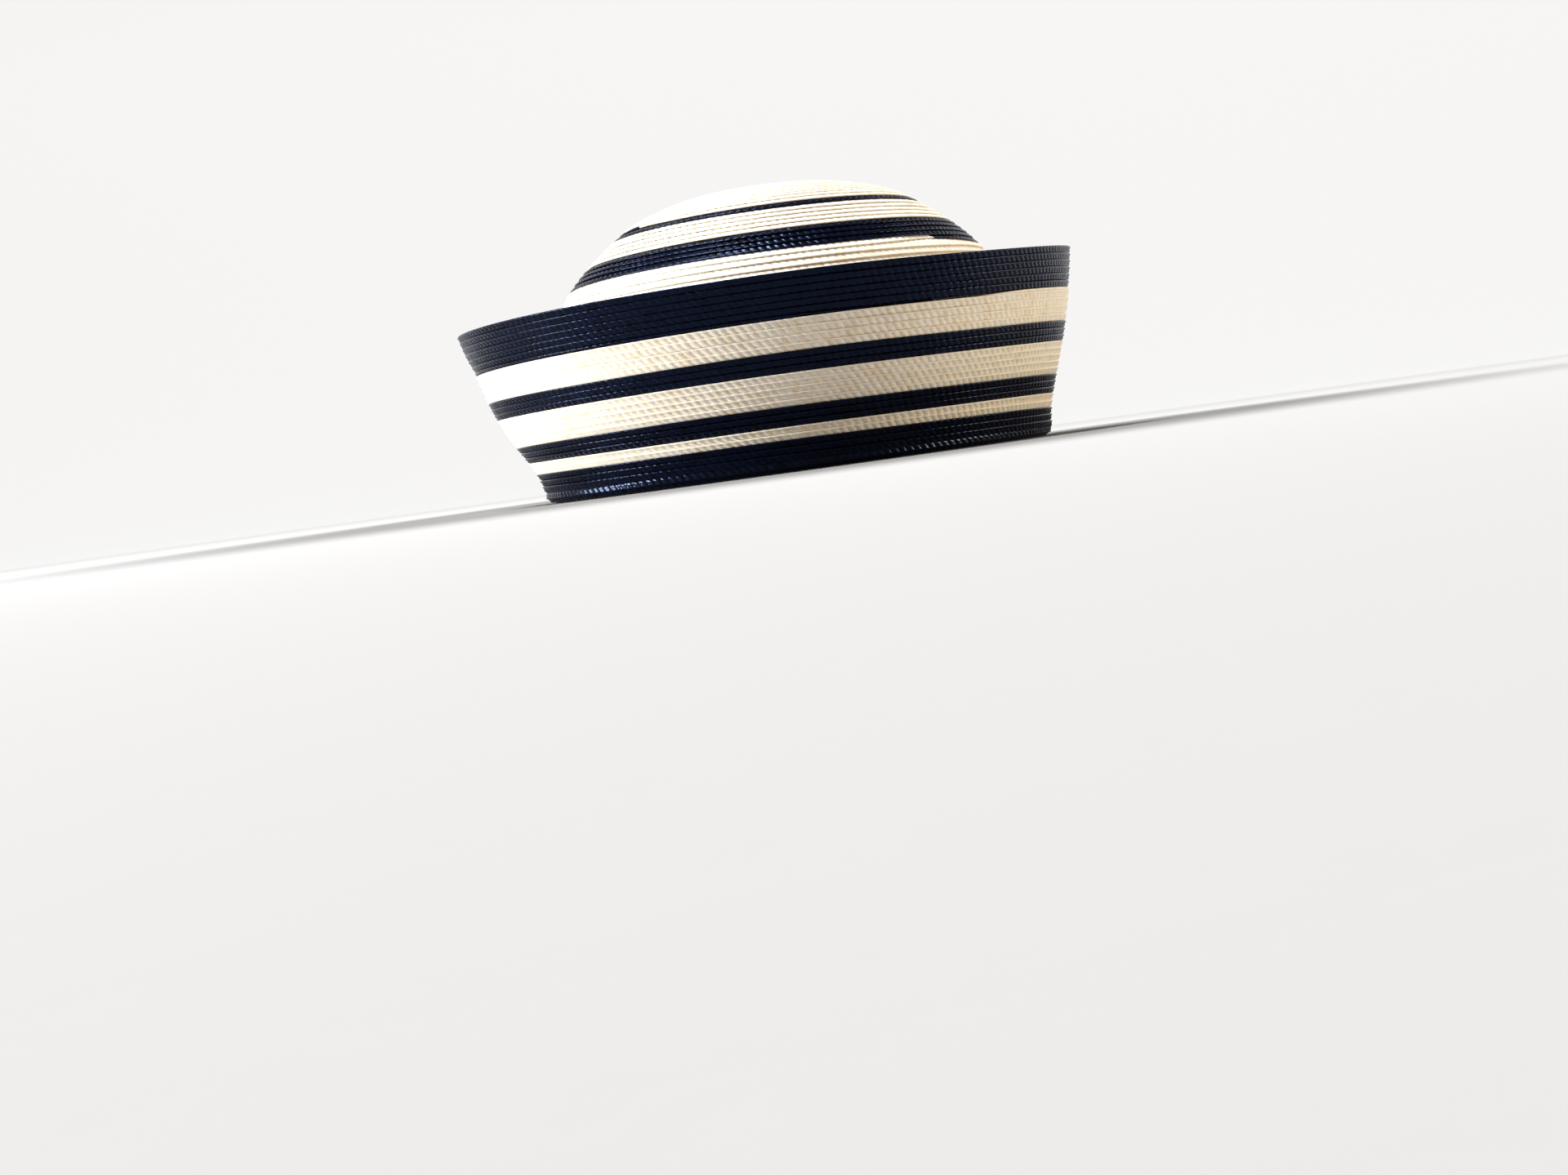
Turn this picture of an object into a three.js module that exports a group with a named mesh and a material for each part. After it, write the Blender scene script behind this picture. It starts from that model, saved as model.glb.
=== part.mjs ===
// Sailor-style hat of striped straw braid: a domed crown, a rolled fold and an upturned cuff.
// Millimetres, +Z up. The front of the hat faces -Y, and the origin lies on the surface that the
// hat rests on, under the middle of its outline.
import * as THREE from 'three';

// Plan of the hat at the fold, its lower edge
const foldHalfLength = 102; // middle to the outside of the fold, front and back
const foldHalfWidth = 90; // middle to the outside of the fold, left and right
const foldWidth = 8; // across the rolled edge, from the head side to the outside
const strawWall = 2; // overlapped rows of braid

// Crown and cuff
const crownHeight = 109.5;
const cuffHeightFront = 66.5;
const cuffHeightSide = 68;
const cuffHeightBack = 72.5;
const cuffFlareFront = 24.5; // how far the cuff leans out past the fold
const cuffFlareSide = 20;
const cuffFlareBack = 14;

const seamGap = 0.3; // between two bands of braid
const sides = 56; // straight steps round the hat, a multiple of 4
const foldTurns = 5; // straight steps round the fold, odd, so that the lowest one lies flat

// The fold's outside is half a circle of straight steps that stands on its middle one.
const foldRadius = foldWidth / 2;
const foldStep = Math.PI / foldTurns;
const foldRise = foldRadius * Math.cos(foldStep / 2);

// The crown's wall starts on the inner side of the fold.
const crownHalfLength = foldHalfLength - foldWidth + strawWall;
const crownHalfWidth = foldHalfWidth - foldWidth + strawWall;
const crownHalfMean = (crownHalfLength + crownHalfWidth) / 2;

// The cuff leans out further in front, so the middle of the outline lies in front of the crown's.
const crownMiddleY = (cuffFlareFront - cuffFlareBack) / 2;

// Crown section, from the tip down to the fold: across is a share of the crown's half size at the
// fold, up a share of the crown's height over the fold.
const crownSection = [
  { across: 0, up: 1 },
  { across: 0.15, up: 1 },
  { across: 0.3, up: 0.99 },
  { across: 0.44, up: 0.961 },
  { across: 0.56, up: 0.921 },
  { across: 0.65, up: 0.868 },
  { across: 0.76, up: 0.79 },
  { across: 0.84, up: 0.719 },
  { across: 0.89, up: 0.649 },
  { across: 0.945, up: 0.51 },
  { across: 0.975, up: 0.35 },
  { across: 0.992, up: 0.17 },
  { across: 1, up: 0 },
];

// Cuff section, from the fold up to the edge: front and back are shares of the cuff's flare there,
// and halfway between at the sides. Up is a share of its height over the fold.
const cuffSection = [
  { front: 0, back: 0, up: 0 },
  { front: 0.03, back: 0.02, up: 0.07 },
  { front: 0.14, back: 0.11, up: 0.17 },
  { front: 0.44, back: 0.38, up: 0.37 },
  { front: 0.65, back: 0.64, up: 0.56 },
  { front: 0.78, back: 0.82, up: 0.75 },
  { front: 0.91, back: 0.93, up: 0.88 },
  { front: 1, back: 1, up: 1 },
];

const navy = { color: '#0d1226', roughness: 0.35, metalness: 0 };
const cream = { color: '#efe6cf', roughness: 0.4, metalness: 0 };

// Bands of the crown from the tip down and of the cuff from the fold up. Each is as many rows of
// braid wide as rows says, and steps is the number of straight steps across it. The rows next to
// the fold on both sides belong to the fold's own band.
const crownBands = [
  { name: 'crown_tip', rows: 20, steps: 5, finish: cream },
  { name: 'crown_thin_stripe', rows: 1.2, steps: 1, finish: navy },
  { name: 'crown_upper_band', rows: 4.8, steps: 2, finish: cream },
  { name: 'crown_wide_stripe', rows: 4.4, steps: 2, finish: navy },
  { name: 'crown_wall', rows: 26, steps: 5, finish: cream },
];
const crownFoldRows = 2;
const cuffFoldRows = 3;
const cuffBands = [
  { name: 'cuff_lower_band', rows: 2, steps: 1, finish: cream },
  { name: 'cuff_lower_stripe', rows: 3, steps: 1, finish: navy },
  { name: 'cuff_middle_band', rows: 5, steps: 2, finish: cream },
  { name: 'cuff_middle_stripe', rows: 3, steps: 1, finish: navy },
  { name: 'cuff_upper_band', rows: 5, steps: 2, finish: cream },
  { name: 'cuff_edge_stripe', rows: 6, steps: 2, finish: navy },
];
const foldSteps = 1; // straight steps up each side of the fold's own band

const totalRows = (bands, foldRows) => bands.reduce((sum, band) => sum + band.rows, foldRows);
const crownRows = totalRows(crownBands, crownFoldRows);
const cuffRows = totalRows(cuffBands, cuffFoldRows);

// Crown wall at a share of the way from the tip to the fold, a depth below its outer side.
const crownCurve = new THREE.SplineCurve(
  crownSection.map(
    (row) =>
      new THREE.Vector2(row.across * crownHalfMean, foldRise + row.up * (crownHeight - foldRise)),
  ),
);

function crownPoint(share, depth, angle) {
  const point = crownCurve.getPointAt(share);
  const along = crownCurve.getTangentAt(share);
  const across = point.x / crownHalfMean;
  const out = along.y * depth;
  return new THREE.Vector3(
    (across * crownHalfWidth + out) * Math.cos(angle),
    crownMiddleY + (across * crownHalfLength + out) * Math.sin(angle),
    point.y - along.x * depth,
  );
}

// A point that lies out past the fold's outside, or inside it where out is below nought.
function foldPoint(out, up, angle) {
  return new THREE.Vector3(
    (foldHalfWidth + out) * Math.cos(angle),
    crownMiddleY + (foldHalfLength + out) * Math.sin(angle),
    up,
  );
}

// Cuff section at an angle round the hat, between its form at the side and in front or behind.
const cuffCurves = new Map();

function cuffCurve(angle) {
  if (!cuffCurves.has(angle)) {
    const side = Math.cos(angle) ** 2;
    const inFront = Math.sin(angle) < 0;
    const endHeight = inFront ? cuffHeightFront : cuffHeightBack;
    const height = THREE.MathUtils.lerp(endHeight, cuffHeightSide, side) - foldRise;
    const points = cuffSection.map((row) => {
      const endFlare = inFront ? row.front * cuffFlareFront : row.back * cuffFlareBack;
      const sideFlare = ((row.front + row.back) / 2) * cuffFlareSide;
      const out = THREE.MathUtils.lerp(endFlare, sideFlare, side);
      return new THREE.Vector2(out, foldRise + row.up * height);
    });
    cuffCurves.set(angle, new THREE.SplineCurve(points));
  }
  return cuffCurves.get(angle);
}

// Cuff wall at a share of the way from the fold to its edge, a depth behind its outer side.
function cuffPoint(share, depth, angle) {
  const curve = cuffCurve(angle);
  const point = curve.getPointAt(share);
  const along = curve.getTangentAt(share);
  return foldPoint(point.x - along.y * depth, point.y + along.x * depth, angle);
}

// Half circles round the fold, between its two walls.
function foldArc(radius, angle, turn) {
  return foldPoint(
    -foldRadius + radius * Math.cos(turn),
    foldRise - radius * Math.sin(turn),
    angle,
  );
}

// A closed ring: section holds a function of the angle for each corner of the ring's section, in
// order round it. A plain hoop with as many corners is lathed, and its points are laid in place.
function ring(section) {
  const corners = section.map((_, i) => {
    const turn = (2 * Math.PI * i) / section.length;
    return new THREE.Vector2(2 + Math.cos(turn), Math.sin(turn));
  });
  const geometry = new THREE.LatheGeometry([...corners, corners[0]], sides);
  const position = geometry.getAttribute('position');
  const perSide = section.length + 1;
  for (let i = 0; i < position.count; i++) {
    const side = Math.floor(i / perSide) % sides;
    const point = section[(i % perSide) % section.length]((2 * Math.PI * side) / sides);
    position.setXYZ(i, point.x, point.y, point.z);
  }
  geometry.computeVertexNormals();
  return geometry;
}

// Stations from one share to another, each a function of the angle at one depth.
function stations(pointAt, from, to, steps, depth) {
  return Array.from({ length: steps + 1 }, (_, i) => {
    const share = from + ((to - from) * i) / steps;
    return (angle) => pointAt(share, depth, angle);
  });
}

function finished(name, geometry, finish) {
  const mesh = new THREE.Mesh(geometry, new THREE.MeshStandardMaterial(finish));
  mesh.name = name;
  return mesh;
}

// A band of the crown: up its outer side, then back down its inner side.
function crownBand({ name, steps, finish }, from, to) {
  const outer = stations(crownPoint, to, from, steps, 0);
  const inner = stations(crownPoint, from, to, steps, strawWall);
  return finished(name, ring([...outer, ...inner]), finish);
}

// A band of the cuff: up its outer side, then back down the side that faces the crown.
function cuffBand({ name, steps, finish }, from, to) {
  const outer = stations(cuffPoint, from, to, steps, 0);
  const inner = stations(cuffPoint, to, from, steps, strawWall);
  return finished(name, ring([...outer, ...inner]), finish);
}

// The fold: up the outside of the cuff, down its back, round the gutter, up the crown's wall, down
// its head side and round under the edge that the hat rests on.
function foldBand(crownShare, cuffShare) {
  const turns = (radius, from, to) =>
    Array.from({ length: foldTurns - 1 }, (_, i) => {
      const turn = from + ((to - from) * (i + 1)) / foldTurns;
      return (angle) => foldArc(radius, angle, turn);
    });
  const section = [
    ...stations(cuffPoint, 0, cuffShare, foldSteps, 0),
    ...stations(cuffPoint, cuffShare, 0, foldSteps, strawWall),
    ...turns(foldRadius - strawWall, 0, Math.PI),
    ...stations(crownPoint, 1, crownShare, foldSteps, 0),
    ...stations(crownPoint, crownShare, 1, foldSteps, strawWall),
    ...turns(foldRadius, Math.PI, 0),
  ];
  return finished('fold_band', ring(section), navy);
}

const hat = new THREE.Group();
hat.name = 'striped_straw_hat';

const crownGap = seamGap / 2 / crownCurve.getLength();
let crownRow = 0;
for (const band of crownBands) {
  const from = crownRow === 0 ? 0 : crownRow / crownRows + crownGap;
  crownRow += band.rows;
  hat.add(crownBand(band, from, crownRow / crownRows - crownGap));
}

const cuffGap = seamGap / 2 / cuffCurve(0).getLength();
hat.add(foldBand(crownRow / crownRows + crownGap, cuffFoldRows / cuffRows - cuffGap));

let cuffRow = cuffFoldRows;
for (const band of cuffBands) {
  const from = cuffRow / cuffRows + cuffGap;
  cuffRow += band.rows;
  const to = cuffRow === cuffRows ? 1 : cuffRow / cuffRows - cuffGap;
  hat.add(cuffBand(band, from, to));
}

export default hat;
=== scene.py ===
# Striped straw sailor hat: each row of plaited straw is laid along one spiral and laps the next row.
import bisect
import math
import random

import bpy
from mathutils import Euler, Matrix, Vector


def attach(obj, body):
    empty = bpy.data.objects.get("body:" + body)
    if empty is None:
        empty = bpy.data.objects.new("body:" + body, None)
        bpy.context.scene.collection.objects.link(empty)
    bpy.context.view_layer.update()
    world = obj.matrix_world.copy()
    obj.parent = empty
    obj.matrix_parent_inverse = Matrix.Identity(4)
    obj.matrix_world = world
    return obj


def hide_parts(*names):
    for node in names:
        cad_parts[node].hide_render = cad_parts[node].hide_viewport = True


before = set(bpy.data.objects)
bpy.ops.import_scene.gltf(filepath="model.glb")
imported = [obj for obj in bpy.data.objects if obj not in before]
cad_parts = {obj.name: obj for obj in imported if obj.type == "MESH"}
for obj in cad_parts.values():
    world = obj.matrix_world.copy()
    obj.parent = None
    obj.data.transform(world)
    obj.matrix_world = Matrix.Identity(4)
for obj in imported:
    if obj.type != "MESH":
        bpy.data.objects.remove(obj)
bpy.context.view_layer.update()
bpy.ops.object.select_all(action="DESELECT")
random.seed(23)
mm = 0.001


# colours and nodes

def linear(hexColour, alpha=1.0):
    channels = [int(hexColour[i:i + 2], 16) / 255 for i in (1, 3, 5)]
    return tuple(c / 12.92 if c <= 0.04045 else ((c + 0.055) / 1.055) ** 2.4 for c in channels) + (alpha,)


def addNode(tree, kind, settings=None, **inputs):
    # settings are the node's own; inputs are values, or sockets to link from, by the socket's name
    node = tree.nodes.new(kind)
    for name, value in (settings or {}).items():
        setattr(node, name, value)
    for name, value in inputs.items():
        socket = node.inputs[int(name[1:])] if name[1:].isdigit() else node.inputs[name.replace("_", " ")]
        if isinstance(value, bpy.types.NodeSocket):
            tree.links.new(value, socket)
        else:
            socket.default_value = value
    return node


def newMaterial(name):
    material = bpy.data.materials.new(name)
    material.use_nodes = True
    material.node_tree.nodes.clear()
    return material, material.node_tree


# polypropylene straw: extruded film folded into strands and plaited, so each strand is a smooth,
# glossy ribbon with fine lines along it, and the tone changes a little along the braid
strawFilm = {
    "ior": 1.49,
    "lineSpacing": 0.34,  # mm; real film lines are finer than the render shows
    "lineHeight": 0.035 * mm,
    "lineStretch": (3.0, 1.2, 1.0),  # turns UV into mm across a strand, and draws the lines out along it
    "lineChange": 9.0,  # how much the lines change with the tone
    "subsurfaceScale": 0.8 * mm,
    "toneScale": 240.0,  # patches of tone are about 4 mm wide
    "middleTone": 0.45,
    "shineScale": 90.0,  # patches of more and less shine are about 11 mm wide
    "noiseRange": (0.3, 0.7),  # noise hardly goes past these
}
creamStrawFinish = {
    "tones": ("#f1ead9", "#f6f1e5", "#ede4d0"),
    "roughness": (0.30, 0.46),
    "specular": 0.4,
    "glossColour": "#ffffff",
    "subsurface": 0.12,
    "subsurfaceColour": (1.0, 0.72, 0.42),
}
navyStrawFinish = {
    "tones": ("#05070f", "#090e20", "#04050a"),
    "roughness": (0.16, 0.3),
    "specular": 0.28,
    "glossColour": "#98baff",
    "subsurface": 0.0,
    "subsurfaceColour": (0.3, 0.4, 1.0),
}


def polypropyleneStraw(name, finish):
    material, tree = newMaterial(name)
    low, high = strawFilm["noiseRange"]
    place = addNode(tree, "ShaderNodeTexCoord")
    batches = addNode(tree, "ShaderNodeTexNoise", Vector=place.outputs["Object"],
                      Scale=strawFilm["toneScale"], Detail=1.0)
    spread = addNode(tree, "ShaderNodeMapRange", Value=batches.outputs["Fac"], From_Min=low, From_Max=high)
    tone = addNode(tree, "ShaderNodeValToRGB", Fac=spread.outputs["Result"])
    tone.color_ramp.elements.new(strawFilm["middleTone"])
    for element, colour in zip(tone.color_ramp.elements, finish["tones"]):
        element.color = linear(colour)
    along = addNode(tree, "ShaderNodeUVMap", {"uv_map": "strandUV"})  # 1 across a strand, 1 round the plait
    stretched = addNode(tree, "ShaderNodeMapping", Vector=along.outputs["UV"],
                        Scale=strawFilm["lineStretch"])
    change = addNode(tree, "ShaderNodeMath", {"operation": "MULTIPLY"}, _0=batches.outputs["Fac"],
                     _1=strawFilm["lineChange"])
    lines = addNode(tree, "ShaderNodeTexNoise", {"noise_dimensions": "4D"}, W=change.outputs[0],
                    Vector=stretched.outputs["Vector"], Scale=1 / strawFilm["lineSpacing"], Detail=2.0,
                    Roughness=0.6)
    patches = addNode(tree, "ShaderNodeTexNoise", Vector=place.outputs["Object"],
                      Scale=strawFilm["shineScale"], Detail=2.0)
    shine = addNode(tree, "ShaderNodeMapRange", Value=patches.outputs["Fac"], From_Min=low, From_Max=high,
                    To_Min=finish["roughness"][0], To_Max=finish["roughness"][1])
    bump = addNode(tree, "ShaderNodeBump", Height=lines.outputs["Fac"], Strength=1.0,
                   Distance=strawFilm["lineHeight"])
    surface = addNode(tree, "ShaderNodeBsdfPrincipled", Base_Color=tone.outputs["Color"],
                      Roughness=shine.outputs["Result"], Normal=bump.outputs["Normal"], IOR=strawFilm["ior"],
                      Specular_IOR_Level=finish["specular"], Specular_Tint=linear(finish["glossColour"]),
                      Subsurface_Weight=finish["subsurface"], Subsurface_Radius=finish["subsurfaceColour"],
                      Subsurface_Scale=strawFilm["subsurfaceScale"])
    addNode(tree, "ShaderNodeOutputMaterial", Surface=surface.outputs["BSDF"])
    return material


creamStraw = polypropyleneStraw("glossy_cream_polypropylene_straw", creamStrawFinish)
navyStraw = polypropyleneStraw("glossy_navy_polypropylene_straw", navyStrawFinish)
print("materials made")


# the hat's form, the same as the frame's

hat = {
    "foldHalfLength": 102 * mm,
    "foldHalfWidth": 90 * mm,
    "foldRadius": 4 * mm,
    "strawWall": 2 * mm,
    "crownHeight": 109.5 * mm,
    "cuffHeight": {"front": 66.5 * mm, "side": 68 * mm, "back": 72.5 * mm},
    "cuffFlare": {"front": 24.5 * mm, "side": 20 * mm, "back": 14 * mm},
    "crownRows": 58.4,
    "foldRows": 5,
    "cuffRows": 27,
    "rowOverPath": 0.08 * mm,  # how far a row round the fold stays inside its path
    "stepsPerTurn": 120,
}
foldRise = hat["foldRadius"] * math.cos(math.pi / 2 / hat["foldRows"])
crownHalfLength = hat["foldHalfLength"] - 2 * hat["foldRadius"] + hat["strawWall"]
crownHalfWidth = hat["foldHalfWidth"] - 2 * hat["foldRadius"] + hat["strawWall"]
crownHalfMean = (crownHalfLength + crownHalfWidth) / 2
middleY = (hat["cuffFlare"]["front"] - hat["cuffFlare"]["back"]) / 2

# across is a share of the crown's half size at the fold, up a share of its height over the fold
crownSection = [(0, 1), (0.15, 1), (0.3, 0.99), (0.44, 0.961), (0.56, 0.921), (0.65, 0.868), (0.76, 0.79),
                (0.84, 0.719), (0.89, 0.649), (0.945, 0.51), (0.975, 0.35), (0.992, 0.17), (1, 0)]
# front and back are shares of the cuff's flare there, up a share of its height over the fold
cuffSection = [(0, 0, 0), (0.03, 0.02, 0.07), (0.14, 0.11, 0.17), (0.44, 0.38, 0.37), (0.65, 0.64, 0.56),
               (0.78, 0.82, 0.75), (0.91, 0.93, 0.88), (1, 1, 1)]


def smoothLine(points, samples=200):
    # places on the smooth line through a section's points, and how far along it each one is
    last = len(points) - 1
    places = []
    for k in range(samples + 1):
        i = min(int(k / samples * last), last - 1)
        t = k / samples * last - i
        near = (points[max(i - 1, 0)], points[i], points[i + 1], points[min(i + 2, last)])
        places.append(Vector([
            0.5 * (2 * b + (c - a) * t + (2 * a - 5 * b + 4 * c - d) * t ** 2
                   + (3 * b - a - 3 * c + d) * t ** 3)
            for a, b, c, d in zip(*near)]))
    reach = [0.0]
    for before, after in zip(places, places[1:]):
        reach.append(reach[-1] + (after - before).length)
    return places, reach


def placeAlong(line, share):
    # a place on the line and the direction there; past its ends the line goes straight on
    places, reach = line
    goal = share * reach[-1]
    i = min(max(bisect.bisect_right(reach, goal) - 1, 0), len(places) - 2)
    step = places[i + 1] - places[i]
    return places[i] + step * ((goal - reach[i]) / (reach[i + 1] - reach[i])), step.normalized()


crownLine = smoothLine([(across * crownHalfMean, foldRise + up * (hat["crownHeight"] - foldRise))
                        for across, up in crownSection])
cuffLines = {}


def cuffLine(angle):
    key = round(math.degrees(angle) * 10) % 3600
    if key not in cuffLines:
        side = math.cos(angle) ** 2
        end = "front" if math.sin(angle) < 0 else "back"
        height = hat["cuffHeight"][end] * (1 - side) + hat["cuffHeight"]["side"] * side - foldRise
        points = []
        for front, back, up in cuffSection:
            endOut = (front if end == "front" else back) * hat["cuffFlare"][end]
            sideOut = (front + back) / 2 * hat["cuffFlare"]["side"]
            points.append((endOut * (1 - side) + sideOut * side, foldRise + up * height))
        cuffLines[key] = smoothLine(points, 80)
    return cuffLines[key]


# each gives a place on the hat's outside, and the direction that the row's free edge faces

def onCrown(row, angle):
    place, along = placeAlong(crownLine, row / hat["crownRows"])
    across, stretch = place.x / crownHalfMean, along.x / crownHalfMean
    point = Vector((across * crownHalfWidth * math.cos(angle),
                    middleY + across * crownHalfLength * math.sin(angle), place.y))
    free = Vector((stretch * crownHalfWidth * math.cos(angle),
                   stretch * crownHalfLength * math.sin(angle), along.y))
    return point, free.normalized()


def pastFold(out, up, angle):
    return Vector(((hat["foldHalfWidth"] + out) * math.cos(angle),
                   middleY + (hat["foldHalfLength"] + out) * math.sin(angle), up))


def onCuff(row, angle):
    place, along = placeAlong(cuffLine(angle), row / hat["cuffRows"])
    free = Vector((along.x * math.cos(angle), along.x * math.sin(angle), along.y))
    return pastFold(place.x, place.y, angle), free


def roundFold(row, angle):
    # from the head's side of the fold under it to the cuff; the lowest rows just meet the surface
    turn = math.pi * (1 - row / hat["foldRows"])
    radius, drop = hat["foldRadius"], foldRise + hat["rowOverPath"]
    point = pastFold(radius * (math.cos(turn) - 1), foldRise - drop * math.sin(turn), angle)
    inward = -math.sin(turn)
    return point, Vector((inward * math.cos(angle), inward * math.sin(angle), -math.cos(turn)))


# the plait: a repeat of a few strands, lying along X with its free edge at y = 0 and its front up

plait = {
    "strandPitch": 3.0 * mm,  # from one strand to the next along the braid
    "strands": 6,  # in one repeat
    "width": 4.2 * mm,
    "foldWidth": 2.9 * mm,  # the narrower plait that turns round the fold
    "rib": 0.85 * mm,  # the smooth rib that the turned strands make along the free edge
    "rise": 0.58 * mm,  # how far each row stands above the next one
    "rowPitch": 2.75 * mm,
    "slant": 0.78,  # how far a strand leans along the braid for each step across it
    "columns": (0, 0.17, 0.5, 0.83, 1),  # where the lines along a strand lie: groove, shoulder, middle ...
    "stray": 0.25 * mm,  # how far a strand's middle strays along the braid
    "strayUp": 0.2,  # how far it strays up and down, as a share of that
    "sameSpot": 0.005 * mm,  # points closer than this are made one
}
# lines round the plait's section, in mm: how far across and up each lies, how deep the groove
# between two strands is there, and how far a strand's middle stands up
plaitSection = [
    {"at": "tucked edge", "across": -4.2, "up": 0.0, "groove": 0.0, "swell": 0.0},
    {"at": "under the next row", "across": -2.75, "up": 0.05, "groove": 0.16, "swell": 0.06},
    {"at": "middle", "across": -1.8, "up": 0.32, "groove": 0.26, "swell": 0.12},
    {"at": "valley", "across": -0.95, "up": 0.08, "groove": 0.27, "swell": 0.06},
    {"at": "rib", "across": -0.45, "up": 0.37, "groove": 0.12, "swell": 0.04},
    {"at": "free edge", "across": 0.0, "up": 0.06, "groove": 0.03, "swell": 0.0},
    {"at": "behind the rib", "across": -0.3, "up": -0.34, "groove": -0.08, "swell": -0.04},
    {"at": "back", "across": -3.9, "up": -0.34, "groove": -0.14, "swell": -0.08},
    {"at": "tucked edge again", "across": -4.2, "up": 0.0, "groove": 0.0, "swell": 0.0},
]


def movePoints(piece, wanted, move):
    # in edit mode: the points whose place is wanted are moved
    bpy.ops.mesh.select_all(action="DESELECT")
    bpy.ops.object.mode_set(mode="OBJECT")
    for point in piece.data.vertices:
        point.select = wanted(point.co)
    bpy.ops.object.mode_set(mode="EDIT")
    bpy.ops.transform.translate(value=move)


def activate(piece):
    bpy.ops.object.select_all(action="DESELECT")
    piece.select_set(True)
    bpy.context.view_layer.objects.active = piece


def applyPlace(piece):
    activate(piece)
    bpy.ops.object.transform_apply(location=True, rotation=True, scale=True)


def joinPieces(name, pieces):
    activate(pieces[0])
    for piece in pieces:
        piece.select_set(True)
    bpy.ops.object.join()
    pieces[0].name = name
    return pieces[0]


def makeStrand(width):
    # one strand's share of the plait, front, rib and back. It starts as a grid a metre a step, so that
    # each line and column is told by its place, and they are drawn in one by one
    columns, lines = len(plait["columns"]) - 1, len(plaitSection) - 1
    bpy.ops.mesh.primitive_grid_add(x_subdivisions=columns, y_subdivisions=lines, size=1)
    strand = bpy.context.active_object
    strand.scale = (columns, lines, 1)
    strand.location = (columns / 2, lines / 2, 0)
    applyPlace(strand)
    bpy.ops.object.mode_set(mode="EDIT")
    bpy.ops.mesh.select_mode(type="VERT")
    for i, line in enumerate(plaitSection):
        movePoints(strand, lambda co: round(co.y) == i and round(co.x) % columns == 0,
                   (0, 0, -line["groove"] * mm))
        movePoints(strand, lambda co: round(co.y) == i and round(co.x) == columns // 2,
                   (0, 0, line["swell"] * mm))
    for k, place in enumerate(plait["columns"]):
        movePoints(strand, lambda co: abs(co.x - k) < 0.1, (place * plait["strandPitch"] - k, 0, 0))
    for i, line in enumerate(plaitSection):
        across = line["across"] * mm
        pastRib = across + plait["rib"]
        if pastRib < 0:
            across = -plait["rib"] + pastRib * (width - plait["rib"]) / (plait["width"] - plait["rib"])
        movePoints(strand, lambda co: abs(co.y - i) < 0.1,
                   (-plait["slant"] * across, across - i, line["up"] * mm))
    bpy.ops.object.mode_set(mode="OBJECT")
    strand.data.uv_layers[0].name = "strandUV"
    return strand


def makePlait(name, width):
    strand = makeStrand(width)
    middle = plait["columns"][2] * plait["strandPitch"]
    near = 0.05 * mm
    copies = []
    for k in range(plait["strands"]):
        copied = strand.copy()
        copied.data = strand.data.copy()
        bpy.context.scene.collection.objects.link(copied)
        activate(copied)
        bpy.ops.object.mode_set(mode="EDIT")
        alongBraid = random.uniform(-1, 1) * plait["stray"]
        up = random.uniform(-plait["strayUp"], plait["strayUp"]) * plait["stray"]
        movePoints(copied, lambda co: co.z > near and abs(co.x + plait["slant"] * co.y - middle) < near,
                   (alongBraid, 0, up))
        bpy.ops.object.mode_set(mode="OBJECT")
        copied.location.x = k * plait["strandPitch"]
        applyPlace(copied)
        copies.append(copied)
    bpy.data.objects.remove(strand)
    repeat = joinPieces(name, copies)
    bpy.ops.object.mode_set(mode="EDIT")
    bpy.ops.mesh.select_all(action="SELECT")
    bpy.ops.mesh.remove_doubles(threshold=plait["sameSpot"])
    bpy.ops.object.mode_set(mode="OBJECT")
    repeat.location = (0, 0, -plait["rise"] / 2)
    applyPlace(repeat)
    tuck = math.asin(plait["rise"] / plait["rowPitch"])  # one edge lies under the next row
    repeat.rotation_euler = (tuck, 0, 0)
    applyPlace(repeat)
    bpy.ops.object.shade_smooth()
    return repeat


widePlait = makePlait("wide_plait", plait["width"])
foldPlait = makePlait("fold_plait", plait["foldWidth"])
print("plait modelled:", len(widePlait.data.polygons), "faces for", plait["strands"], "strands")


# sewing: a path for the row's free edge, then an array of the plait bent along it

sewing = {
    "crownJoin": (30.3, math.radians(27)),  # a row, and the angle round the hat where it starts
    "cuffJoin": (-0.5, math.radians(155)),
    "waver": 0.09 * mm,  # how much hand-guided rows stray
    "waves": ((1.0, 0.113, 0.0), (0.7, 0.047, 1.3), (0.5, 0.291, 0.4)),  # size, change at each step, start
    "taper": 0.07,  # the share of a turn in which an end of braid slips under the row before
}
evenRows = ((0, 0), (99, 0))


def spiral(station, join, fromRow, toRow, freeOffset, lowTaper=0.5, highTaper=0.5, drift=evenRows):
    # places of the row's free edge, and how deep it sinks there; the ends slip under the row before,
    # and drift lists by how much of a row the edge strays from an even spiral, at which rows
    steps = hat["stepsPerTurn"]
    first, last = round(fromRow * steps), round(toRow * steps)
    order = range(first, last + 1) if last > first else range(first, last - 1, -1)
    low, high = min(fromRow, toRow), max(fromRow, toRow)
    places = []
    for k in order:
        row = k / steps
        angle = join[1] - 2 * math.pi * (row - join[0])
        slip = 0.0
        for reach, share in ((row - low, lowTaper), (high - row, highTaper)):
            part = min(reach / sewing["taper"], 1)
            slip = max(slip, share * (1 - part * part * (3 - 2 * part)))
        for (before, shift), (after, nextShift) in zip(drift, drift[1:]):
            if before <= row < after or row == after == high:
                slip -= shift + (nextShift - shift) * (row - before) / (after - before)
        point, free = station(row + freeOffset - slip, angle)
        stray = sum(size * math.sin(k * change + start) for size, change, start in sewing["waves"])
        places.append((point + free * stray * sewing["waver"], free, slip * plait["rise"]))
    return places


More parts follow.
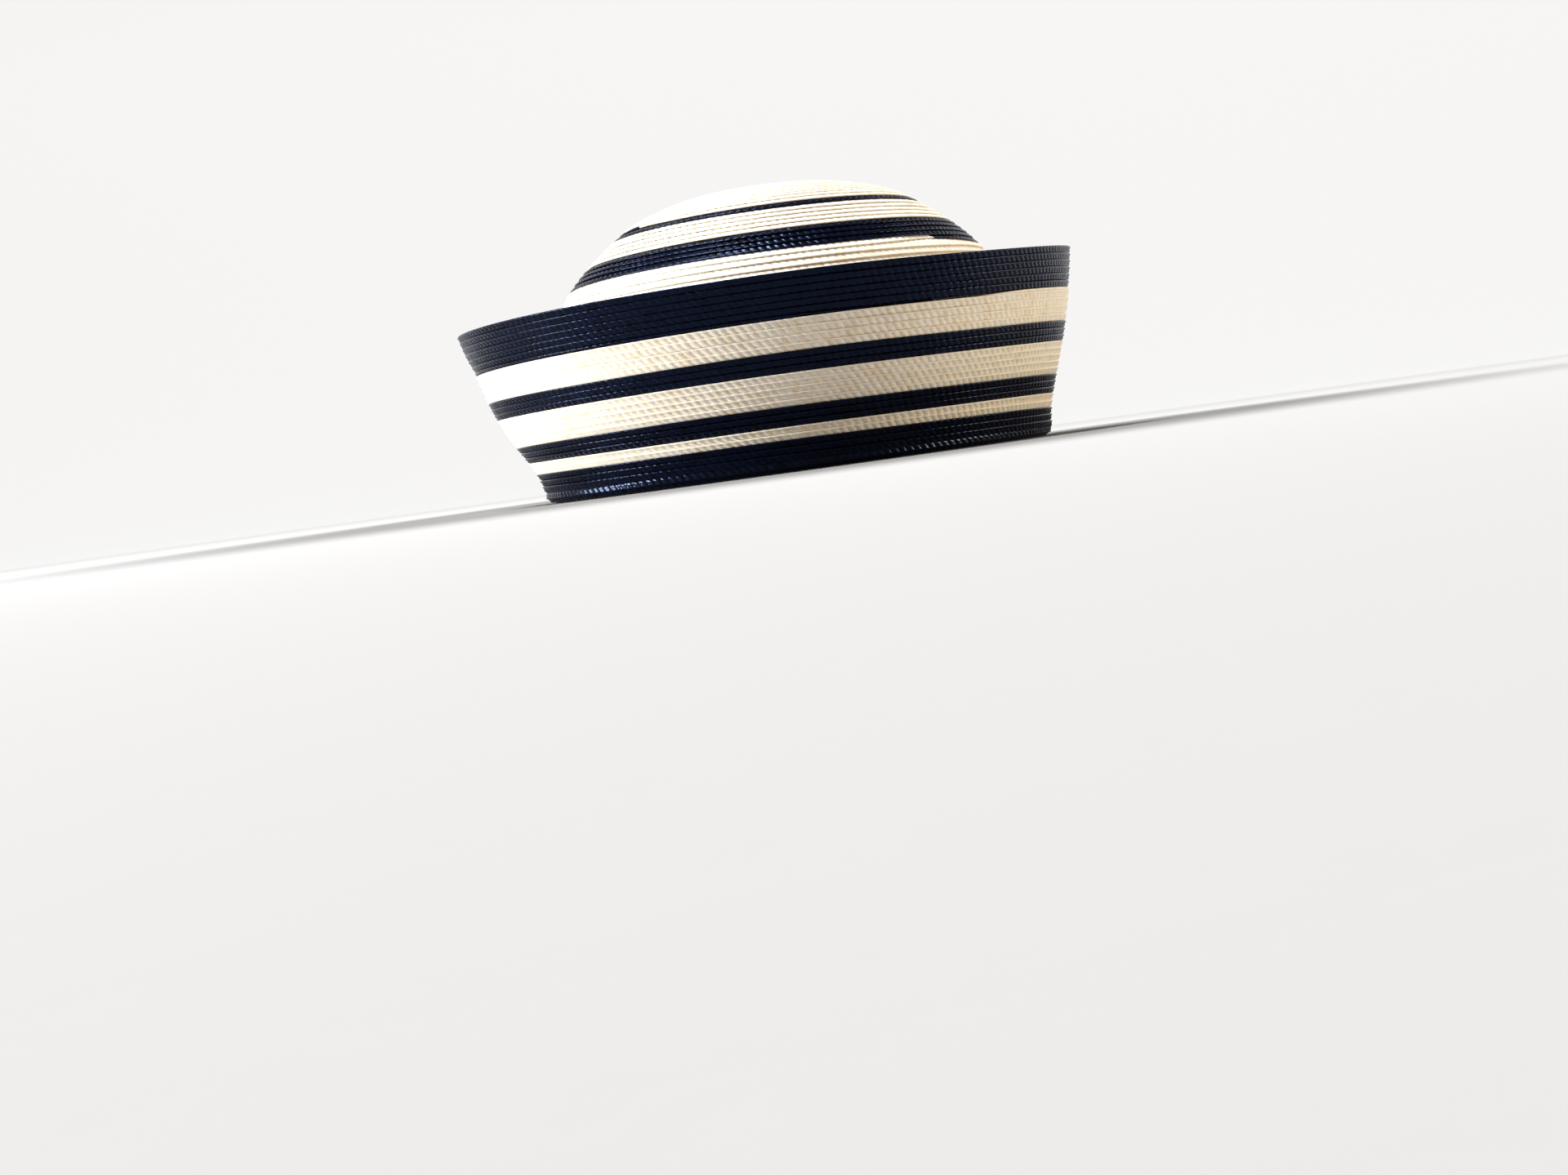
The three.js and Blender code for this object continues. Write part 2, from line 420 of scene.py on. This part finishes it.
def braidPath(places, lean):
    data = bpy.data.curves.new("braid_path", "CURVE")
    data.dimensions = "3D"
    data.twist_mode = "Z_UP"
    line = data.splines.new("POLY")
    line.points.add(len(places) - 1)
    tilt = None
    for i, (point, free, sink) in enumerate(places):
        ahead = (places[min(i + 1, len(places) - 1)][0] - places[max(i - 1, 0)][0]).normalized()
        level = Vector((0, 0, 1)).cross(ahead).normalized()
        turn = math.atan2(free.z, free.dot(level)) + lean
        if tilt is not None:  # no jump of a whole turn from one point to the next
            turn += round((tilt - turn) / (2 * math.pi)) * 2 * math.pi
        tilt = turn
        line.points[i].co = (*(point - ahead.cross(free) * sink), 1)
        line.points[i].tilt = tilt
    path = bpy.data.objects.new("braid_path", data)
    bpy.context.scene.collection.objects.link(path)
    return path, line.calc_length()


def layBraid(name, plaitRepeat, places, lean=0.0):
    path, length = braidPath(places, lean)
    repeatLength = plait["strandPitch"] * plait["strands"]
    count = max(1, round(length / repeatLength))
    stretch = length / (count * repeatLength)
    braid = plaitRepeat.copy()
    braid.data = plaitRepeat.data.copy()
    braid.name = name
    bpy.context.scene.collection.objects.link(braid)
    braid.scale = (stretch, 1, 1)
    applyPlace(braid)
    bpy.ops.object.modifier_add(type="ARRAY")
    array = braid.modifiers[-1]
    array.use_relative_offset = False
    array.use_constant_offset = True
    array.constant_offset_displace = (repeatLength * stretch, 0, 0)
    array.count = count
    array.use_merge_vertices = True
    array.merge_threshold = 0.002 * mm
    bpy.ops.object.modifier_apply(modifier=array.name)
    bpy.ops.object.mode_set(mode="EDIT")
    bpy.ops.mesh.select_all(action="SELECT")
    bpy.ops.mesh.fill_holes(sides=len(plaitSection) - 1)  # the plait's two cut ends
    bpy.ops.object.mode_set(mode="OBJECT")
    bpy.ops.object.modifier_add(type="CURVE")
    bend = braid.modifiers[-1]
    bend.object = path
    bend.deform_axis = "POS_X"
    bpy.ops.object.modifier_apply(modifier=bend.name)
    bpy.data.objects.remove(path)
    return braid


def finishBand(piece, node, material, slot):
    piece.data.materials.clear()
    piece.data.materials.append(material)
    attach(piece, "root")
    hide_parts(node)
    triangles = sum(len(face.vertices) - 2 for face in piece.data.polygons)
    print("sewn:", piece.name, triangles, "triangles")


# the crown, from its tip down

crownBands = {
    "crown_tip_braid": {"node": "crown_tip", "rows": (0.55, 19.6), "colour": "cream"},
    "crown_thin_stripe_braid": {"node": "crown_thin_stripe", "rows": (19.6, 21.0), "colour": "navy"},
    "crown_upper_band_braid": {"node": "crown_upper_band", "rows": (21.0, 25.8), "colour": "cream"},
    "crown_wide_stripe_braid": {"node": "crown_wide_stripe", "rows": (25.8, 30.3), "colour": "navy"},
    "crown_wall_upper_braid": {"node": "crown_wall", "rows": (30.3, 43.3), "colour": "cream"},
    "crown_wall_lower_braid": {"node": "crown_wall", "rows": (43.3, 55.9), "colour": "cream"},
}
unbroken = {  # where a braid runs on into the next piece, or starts at the tip, its end isn't slipped under
    "starts": ("crown_tip_braid", "crown_wall_lower_braid"),
    "ends": ("crown_wall_upper_braid", "crown_wall_lower_braid"),
}
straws = {"cream": (creamStraw, "cream_straw"), "navy": (navyStraw, "navy_straw")}

# the plait's start, wound up and sewn down flat in the middle of the tip
button = {
    "radius": 3.7 * mm,
    "sides": 14,
    # from the foot up and in: share of the radius, depth under the tip in mm, turn in degrees
    "rings": [(1.0, 1.9, 0), (1.0, 1.3, 0), (0.62, 1.0, 12), (0.5, 0.5, 20), (0.3, 0.3, 32),
              (0.06, 0.34, 50)],
}


def windButton():
    top = hat["crownHeight"]
    share, under, turn = button["rings"][0]
    bpy.ops.mesh.primitive_circle_add(vertices=button["sides"], radius=button["radius"], fill_type="NGON",
                                      calc_uvs=True, location=(0, middleY, top - under * mm))
    piece = bpy.context.active_object
    applyPlace(piece)
    bpy.ops.object.mode_set(mode="EDIT")
    bpy.ops.mesh.select_all(action="SELECT")
    bpy.ops.mesh.flip_normals()
    for nextShare, nextUnder, nextTurn in button["rings"][1:]:
        bpy.ops.mesh.extrude_region_move(TRANSFORM_OT_translate={"value": (0, 0, (under - nextUnder) * mm)})
        bpy.ops.transform.resize(value=(nextShare / share, nextShare / share, 1),
                                 center_override=(0, middleY, top - nextUnder * mm))
        bpy.ops.transform.rotate(value=math.radians(nextTurn - turn), orient_axis="Z",
                                 center_override=(0, middleY, top - nextUnder * mm))
        share, under, turn = nextShare, nextUnder, nextTurn
    bpy.ops.mesh.select_all(action="SELECT")
    bpy.ops.mesh.normals_make_consistent(inside=False)
    bpy.ops.object.mode_set(mode="OBJECT")
    bpy.ops.object.shade_smooth()
    piece.data.uv_layers[0].name = "strandUV"
    return piece


for name, band in crownBands.items():
    ends = (0.0 if name in unbroken["starts"] else 0.5, 0.0 if name in unbroken["ends"] else 0.5)
    braid = layBraid(name, widePlait, spiral(onCrown, sewing["crownJoin"], *band["rows"], 1, *ends))
    if band["node"] == "crown_tip":
        braid = joinPieces(name, [braid, windButton()])
    finishBand(braid, band["node"], *straws[band["colour"]])


# the fold: the crown's last rows, the rolled edge and the cuff's first rows

fold = {
    "crownRows": (55.9, 57.4),
    "roundRows": (-0.2, 4.3),
    "cuffRows": (2.5, -0.5),
    "lean": math.radians(20),  # the rows round the fold follow its curve
}
crownFoot = layBraid("crown_foot", widePlait,
                     spiral(onCrown, sewing["crownJoin"], *fold["crownRows"], 1, 0, 0))
rolledEdge = layBraid("rolled_edge", foldPlait,
                      spiral(roundFold, sewing["cuffJoin"], *fold["roundRows"], 0, 0, 0), fold["lean"])
cuffFoot = layBraid("cuff_foot", widePlait,
                    spiral(onCuff, sewing["cuffJoin"], *fold["cuffRows"], 1, 0, 0.5))
finishBand(joinPieces("fold_braid", [crownFoot, rolledEdge, cuffFoot]), "fold_band", *straws["navy"])


# the cuff, from the fold up; its rows are laid from the top one down, so that their fronts face out

cuffBands = {
    "cuff_lower_band_braid": {"node": "cuff_lower_band", "rows": (4.5, 2.5), "colour": "cream"},
    "cuff_lower_stripe_braid": {"node": "cuff_lower_stripe", "rows": (7.5, 4.5), "colour": "navy"},
    "cuff_middle_band_braid": {"node": "cuff_middle_band", "rows": (12.5, 7.5), "colour": "cream"},
    "cuff_middle_stripe_braid": {"node": "cuff_middle_stripe", "rows": (15.5, 12.5), "colour": "navy"},
    "cuff_upper_band_braid": {"node": "cuff_upper_band", "rows": (19.92, 15.5), "colour": "cream",
                              "drift": ((15.5, 0), (18.9, 0.62), (19.92, -0.12))},  # hides its visible join
    "cuff_edge_stripe_braid": {"node": "cuff_edge_stripe", "rows": (26.5, 19.92), "colour": "navy"},
}
for name, band in cuffBands.items():
    highTaper = 1.0 if band["node"] == "cuff_edge_stripe" else 0.5  # the last end slips right under
    places = spiral(onCuff, sewing["cuffJoin"], *band["rows"], 1, 0.5, highTaper,
                    band.get("drift", evenRows))
    finishBand(layBraid(name, widePlait, places), band["node"], *straws[band["colour"]])

for pattern in (widePlait, foldPlait):
    bpy.data.objects.remove(pattern)


# the studio: a round floor that curves up into its wall; both glow with painted light, most of all behind
# the hat, so they look pale, and next to the hat the floor hardly glows, which paints shade round its foot

studio = {
    "sides": 96,
    "floorRadius": 2.6,
    "curveRadius": 0.9,
    "curveSteps": 10,
    "wallHeight": 2.2,
    "paint": "#7b7a78",
    "roughness": 0.9,
    "specular": 0.1,
    "stippleScale": 400.0,
    "stippleHeight": 0.1 * mm,
    # painted shade: the floor hardly glows next to the hat, so its grey paint shows as a dark ring round the
    # hat's foot
    "floorGlowAndPaintedShade": (0.02, 0.53, 0.62),  # how much light the floor sheds near the hat, before and behind it
    "wallGlow": (0.80, 0.25),  # how much light the wall sheds behind the hat, and on the camera's side
    # the painted glow's colour: warm where it is dim on the camera's side, standing in for warm light from
    # the room, and white behind the hat and on the floor
    "glowTint": ("#d49044", "#ffffff"),  # on the camera's side, and behind the hat and on the floor
    # where one glow gives way to the next, in metres from the middle
    "paintedShadeEnds": (0.16, 0.36),
    "floorEnds": (0.95, 1.9),
    # and toward the backdrop: 1 is straight behind the hat, -1 straight toward the camera
    "floorBehind": (-0.3, 0.6),
    "wallBehind": (0.2, 0.85),
    "tintBehind": (-0.2, 0.7),
    "cameraSide": math.radians(65),
    "world": "#ffffff",
    "worldStrength": 0.03,
}


def wallWithPaintedGlow():
    # matt acrylic paint, grey, with no gloss and a faint stipple; its glow is painted light: bright behind
    # the hat, dim and warm on the camera's side, and nearly none on the floor next to the hat, which is
    # painted shade
    material, tree = newMaterial("matt_acrylic_with_painted_glow")
    smooth = {"interpolation_type": "SMOOTHSTEP"}

    def rampBetween(value, ends, low, high, settings=None):
        ramp = addNode(tree, "ShaderNodeMapRange", settings, Value=value, From_Min=ends[0], From_Max=ends[1],
                       To_Min=low, To_Max=high)
        return ramp.outputs["Result"]

    place = addNode(tree, "ShaderNodeTexCoord")
    stipple = addNode(tree, "ShaderNodeTexNoise", Vector=place.outputs["Object"],
                      Scale=studio["stippleScale"], Detail=2.0)
    bump = addNode(tree, "ShaderNodeBump", Height=stipple.outputs["Fac"], Strength=0.2,
                   Distance=studio["stippleHeight"])
    toBackdrop = (-math.sin(studio["cameraSide"]), math.cos(studio["cameraSide"]), 0)
    level = addNode(tree, "ShaderNodeVectorMath", {"operation": "MULTIPLY"}, _0=place.outputs["Object"],
                    _1=(1, 1, 0))
    level = addNode(tree, "ShaderNodeVectorMath", {"operation": "NORMALIZE"}, _0=level.outputs["Vector"])
    side = addNode(tree, "ShaderNodeVectorMath", {"operation": "DOT_PRODUCT"}, _0=level.outputs["Vector"],
                   _1=toBackdrop).outputs["Value"]
    away = addNode(tree, "ShaderNodeVectorMath", {"operation": "LENGTH"},
                   _0=place.outputs["Object"]).outputs["Value"]
    wallGlow = rampBetween(side, studio["wallBehind"], studio["wallGlow"][1], studio["wallGlow"][0], smooth)
    farFloor = rampBetween(side, studio["floorBehind"], studio["floorGlowAndPaintedShade"][1], studio["floorGlowAndPaintedShade"][2])
    # painted shade: next to the hat the floor's glow falls almost to nothing, so it shows dark round the
    # hat's foot
    floorGlowAndPaintedShade = rampBetween(away, studio["paintedShadeEnds"], studio["floorGlowAndPaintedShade"][0], farFloor, smooth)
    glow = rampBetween(away, studio["floorEnds"], floorGlowAndPaintedShade, wallGlow, smooth)
    onFloor = rampBetween(away, studio["floorEnds"], 1.0, 0.0)
    behind = rampBetween(side, studio["tintBehind"], 0.0, 1.0)
    pale = addNode(tree, "ShaderNodeMath", {"operation": "MAXIMUM"}, _0=onFloor, _1=behind)
    # the colour of the painted glow
    tint = addNode(tree, "ShaderNodeValToRGB", Fac=pale.outputs[0])
    for element, colour in zip(tint.color_ramp.elements, studio["glowTint"]):
        element.color = linear(colour)
    surface = addNode(tree, "ShaderNodeBsdfPrincipled", Base_Color=linear(studio["paint"]),
                      Roughness=studio["roughness"], Specular_IOR_Level=studio["specular"],
                      Normal=bump.outputs["Normal"], Emission_Color=tint.outputs["Color"],
                      Emission_Strength=glow)
    addNode(tree, "ShaderNodeOutputMaterial", Surface=surface.outputs["BSDF"])
    return material


bpy.ops.object.select_all(action="DESELECT")
bpy.ops.mesh.primitive_circle_add(vertices=studio["sides"], radius=studio["floorRadius"], fill_type="NGON")
floor = bpy.context.active_object
floor.name = "studio_floor"
bpy.ops.object.mode_set(mode="EDIT")
bpy.ops.mesh.select_all(action="SELECT")
bpy.ops.mesh.region_to_loop()
radius, height = studio["floorRadius"], 0.0
for i in range(1, studio["curveSteps"] + 1):
    turn = math.pi / 2 * i / studio["curveSteps"]
    nextRadius = studio["floorRadius"] + studio["curveRadius"] * math.sin(turn)
    nextHeight = studio["curveRadius"] * (1 - math.cos(turn))
    bpy.ops.mesh.extrude_edges_move(TRANSFORM_OT_translate={"value": (0, 0, nextHeight - height)})
    bpy.ops.transform.resize(value=(nextRadius / radius, nextRadius / radius, 1), center_override=(0, 0, 0))
    radius, height = nextRadius, nextHeight
bpy.ops.mesh.extrude_edges_move(TRANSFORM_OT_translate={"value": (0, 0, studio["wallHeight"])})
bpy.ops.object.mode_set(mode="OBJECT")
bpy.ops.object.shade_smooth()
floor.data.materials.append(wallWithPaintedGlow())

world = bpy.data.worlds.new("studio_air")
world.use_nodes = True
world.node_tree.nodes["Background"].inputs["Color"].default_value = linear(studio["world"])
world.node_tree.nodes["Background"].inputs["Strength"].default_value = studio["worldStrength"]
bpy.context.scene.world = world


# the camera: where the photograph was taken from, just above the floor

camera = {
    "azimuth": math.radians(65),
    "distance": 0.860,
    "height": 6 * mm,
    "lens": 50.3,
    "sensorWidth": 36,
    "clipStart": 1 * mm,
    "roll": math.radians(-7.855),
    "tiltDown": math.radians(3.49),
    "turnLeft": math.radians(0.42),
}
eye = Vector((math.sin(camera["azimuth"]) * camera["distance"],
              middleY - math.cos(camera["azimuth"]) * camera["distance"], camera["height"]))
look = Vector((-math.sin(camera["azimuth"]), math.cos(camera["azimuth"]), 0))
turned = Euler((0, 0, camera["roll"])).to_quaternion() @ Euler(
    (-camera["tiltDown"], camera["turnLeft"], 0)).to_quaternion()
bpy.ops.object.camera_add(location=eye)
photoCamera = bpy.context.active_object
photoCamera.rotation_mode = "QUATERNION"
photoCamera.rotation_quaternion = look.to_track_quat("-Z", "Y") @ turned
photoCamera.data.lens = camera["lens"]
photoCamera.data.sensor_width = camera["sensorWidth"]
photoCamera.data.clip_start = camera["clipStart"]
bpy.context.scene.camera = photoCamera


# soft lights

lights = {
    "left_softbox": {"azimuth": -7, "elevation": 13, "distance": 1.4, "size": 0.3, "watts": 33,
                     "tint": "#fffcf6"},
    "overhead_softbox": {"azimuth": 0, "elevation": 74, "distance": 1.4, "size": 0.5, "watts": 34,
                         "tint": "#f4f8ff"},
    "right_softbox": {"azimuth": 150, "elevation": 8, "distance": 1.6, "size": 0.4, "watts": 14,
                      "tint": "#ffeccc"},
}
for name, light in lights.items():
    azimuth, elevation = math.radians(light["azimuth"]), math.radians(light["elevation"])
    toward = Vector((math.sin(azimuth) * math.cos(elevation), -math.cos(azimuth) * math.cos(elevation),
                     math.sin(elevation)))
    bpy.ops.object.light_add(type="AREA", location=toward * light["distance"])
    lamp = bpy.context.active_object
    lamp.name = name
    lamp.rotation_mode = "QUATERNION"
    lamp.rotation_quaternion = (-toward).to_track_quat("-Z", "Y")
    lamp.data.size = light["size"]
    lamp.data.energy = light["watts"]
    lamp.data.color = linear(light["tint"])[:3]

bpy.context.scene.view_settings.view_transform = "Standard"
bpy.context.scene.view_settings.look = "None"
print("studio ready")
